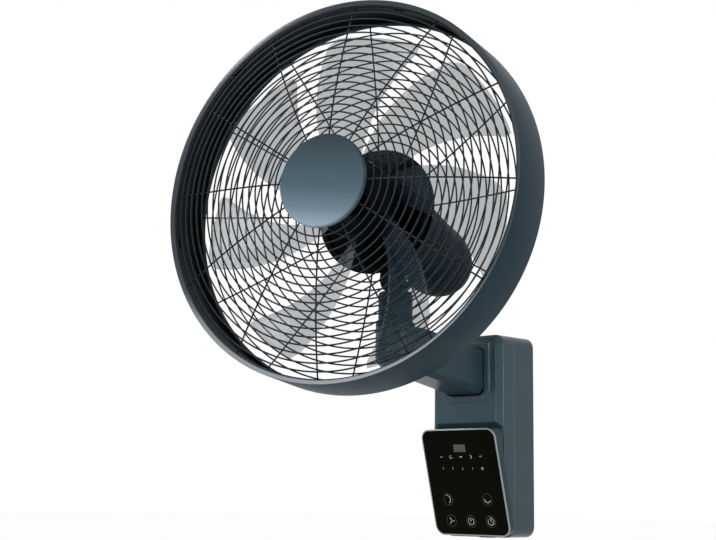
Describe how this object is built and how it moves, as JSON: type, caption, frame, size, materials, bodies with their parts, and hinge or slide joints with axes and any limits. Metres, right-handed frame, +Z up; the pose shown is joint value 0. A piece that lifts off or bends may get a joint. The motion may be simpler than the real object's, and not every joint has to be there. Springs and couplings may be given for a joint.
{
  "type": "wall mounted fan",
  "caption": "Wall fan: a slim hoop with wire guards round a swept impeller, on a swinging, tilting head, an arm and a wall bracket with a leaning touch panel.",
  "frame": {"origin": "middle of the bracket's wall face", "axes": "+Y into the wall, +X to the right facing the wall, +Z up; the fan blows towards -Y"},
  "size_m": [0.4583, 0.4168, 0.6236],
  "materials": {
    "body": "satin",
    "black_plastic": "matt",
    "guard_wire": "satin",
    "badge": "satin",
    "smoked_blade": "gloss",
    "panel_glass": "gloss",
    "panel_trim": "satin",
    "steel": "satin",
    "core_steel": "satin",
    "copper": "satin",
    "bronze": "satin",
    "gear_plastic": "satin",
    "circuit_board": "satin",
    "lamp": "gloss",
    "rubber": "matt"
  },
  "bodies": {
    "bracket": {"wall_plate": "steel", "rear_shell": "body", "front_cover": "body", "lock_screws": "steel", "cover_screws": "steel", "cable_grommet": "rubber", "panel_housing": "body", "panel_trim": "panel_trim", "control_glass": "panel_glass", "touch_board": "circuit_board", "display_module": "lamp", "indicator_lamps": "lamp", "touch_springs": "bronze", "remote_receiver": "black_plastic", "buzzer": "black_plastic", "panel_screws": "steel", "power_board": "circuit_board", "mains_relay": "black_plastic", "smoothing_capacitor": "steel", "transformer": "black_plastic", "terminal_block": "black_plastic", "board_screws": "steel", "arm_body": "body", "arm_lid": "body", "arm_screws": "steel", "swing_bushes": "bronze", "swing_motor": "black_plastic", "thrust_washer": "gear_plastic"},
    "swing_pinion": {"swing_pinion": "gear_plastic"},
    "neck": {"neck_column": "body", "neck_spindle": "steel", "spindle_clip": "steel", "swing_sector": "gear_plastic", "tilt_sector": "gear_plastic"},
    "head": {"shroud": "body", "front_guard_rings": "guard_wire", "front_guard_spokes": "guard_wire", "front_guard_rim": "guard_wire", "rear_guard_rings": "guard_wire", "rear_guard_spokes": "guard_wire", "rear_guard_rim": "guard_wire", "guard_lock_ring": "black_plastic", "guard_clips": "black_plastic", "badge": "badge", "motor_plate": "black_plastic", "motor_can": "black_plastic", "rear_cover": "black_plastic", "stator_core": "core_steel", "stator_windings": "copper", "stator_screws": "steel", "end_bell": "black_plastic", "bearings": "steel", "driver_board": "circuit_board", "tilt_pin": "steel", "tilt_motor": "black_plastic"},
    "tilt_pinion": {"tilt_pinion": "gear_plastic"},
    "rotor": {"impeller": "smoked_blade", "motor_shaft": "steel", "magnet_rotor": "core_steel", "impeller_nut": "black_plastic"}
  },
  "joints": [
    {"name": "swing", "type": "hinge", "parent": "bracket", "child": "neck", "pos_m": [0, -0.202, 0.13], "axis": [0, 0, 1], "range_deg": [-55.4, 24.6]},
    {"name": "swing_drive", "type": "hinge", "parent": "bracket", "child": "swing_pinion", "pos_m": [0, -0.177, 0.109], "axis": [0, 0, 1], "range_deg": [-73.8, 166.2]},
    {"name": "tilt", "type": "hinge", "parent": "neck", "child": "head", "pos_m": [0, -0.202, 0.1853], "axis": [0.9641, 0.2656, 0], "range_deg": [-15.1, 24.9]},
    {"name": "tilt_drive", "type": "hinge", "parent": "head", "child": "tilt_pinion", "pos_m": [-0.0006, -0.19984, 0.21145], "axis": [0.9641, 0.2656, 0], "range_deg": [-48.32, 79.68]},
    {"name": "spin", "type": "hinge", "parent": "head", "child": "rotor", "pos_m": [0.0418, -0.35377, 0.26905], "axis": [0.2646, -0.9606, 0.0854], "continuous": true}
  ],
  "couplings": [
    {"joint": "swing_drive", "follows": "swing", "ratio": -3},
    {"joint": "tilt_drive", "follows": "tilt", "ratio": 3.2}
  ]
}
